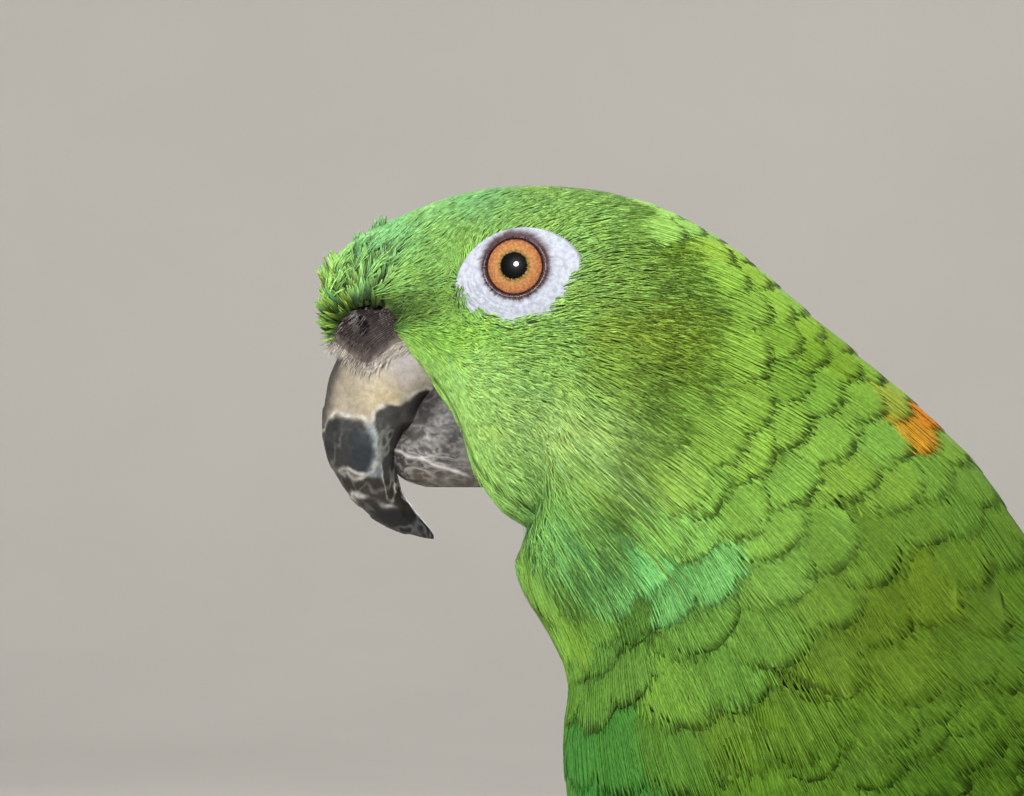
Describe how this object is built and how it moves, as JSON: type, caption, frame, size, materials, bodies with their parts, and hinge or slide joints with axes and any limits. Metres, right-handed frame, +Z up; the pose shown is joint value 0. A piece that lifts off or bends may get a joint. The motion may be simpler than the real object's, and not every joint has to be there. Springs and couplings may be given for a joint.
{
  "type": "parrot model",
  "caption": "Life-size still model of an amazon parrot standing with its neck stretched forward, green with an orange-yellow nape, hooked bill and bare eye rings.",
  "frame": {"origin": "on the ground under the middle of the bird's bounding box", "axes": "+X along the bird towards its tail, +Y across it towards its right side, +Z up; the bill points to -X"},
  "size_m": [0.3164, 0.089, 0.2431],
  "materials": {
    "plumage": "matte",
    "wing_feathers": "matte",
    "flight_feathers": "satin",
    "horn": "satin",
    "dark_horn": "satin",
    "cere_skin": "matte",
    "bare_skin": "matte",
    "eye": "gloss",
    "foot_skin": "matte",
    "claw": "satin"
  },
  "bodies": {
    "root": {"head": "plumage", "cere": "cere_skin", "upper_mandible": "horn", "lower_mandible": "dark_horn", "neck": "plumage", "trunk": "plumage", "tail": "flight_feathers", "eye_left": "eye", "bare_skin_left": "bare_skin", "wing_left": "wing_feathers", "flight_feathers_left": "flight_feathers", "thigh_left": "plumage", "tarsus_left": "foot_skin", "toe_inner_front_left": "foot_skin", "claw_inner_front_left": "claw", "toe_outer_front_left": "foot_skin", "claw_outer_front_left": "claw", "toe_inner_back_left": "foot_skin", "claw_inner_back_left": "claw", "toe_outer_back_left": "foot_skin", "claw_outer_back_left": "claw", "eye_right": "eye", "bare_skin_right": "bare_skin", "wing_right": "wing_feathers", "flight_feathers_right": "flight_feathers", "thigh_right": "plumage", "tarsus_right": "foot_skin", "toe_inner_front_right": "foot_skin", "claw_inner_front_right": "claw", "toe_outer_front_right": "foot_skin", "claw_outer_front_right": "claw", "toe_inner_back_right": "foot_skin", "claw_inner_back_right": "claw", "toe_outer_back_right": "foot_skin", "claw_outer_back_right": "claw"}
  },
  "joints": []
}
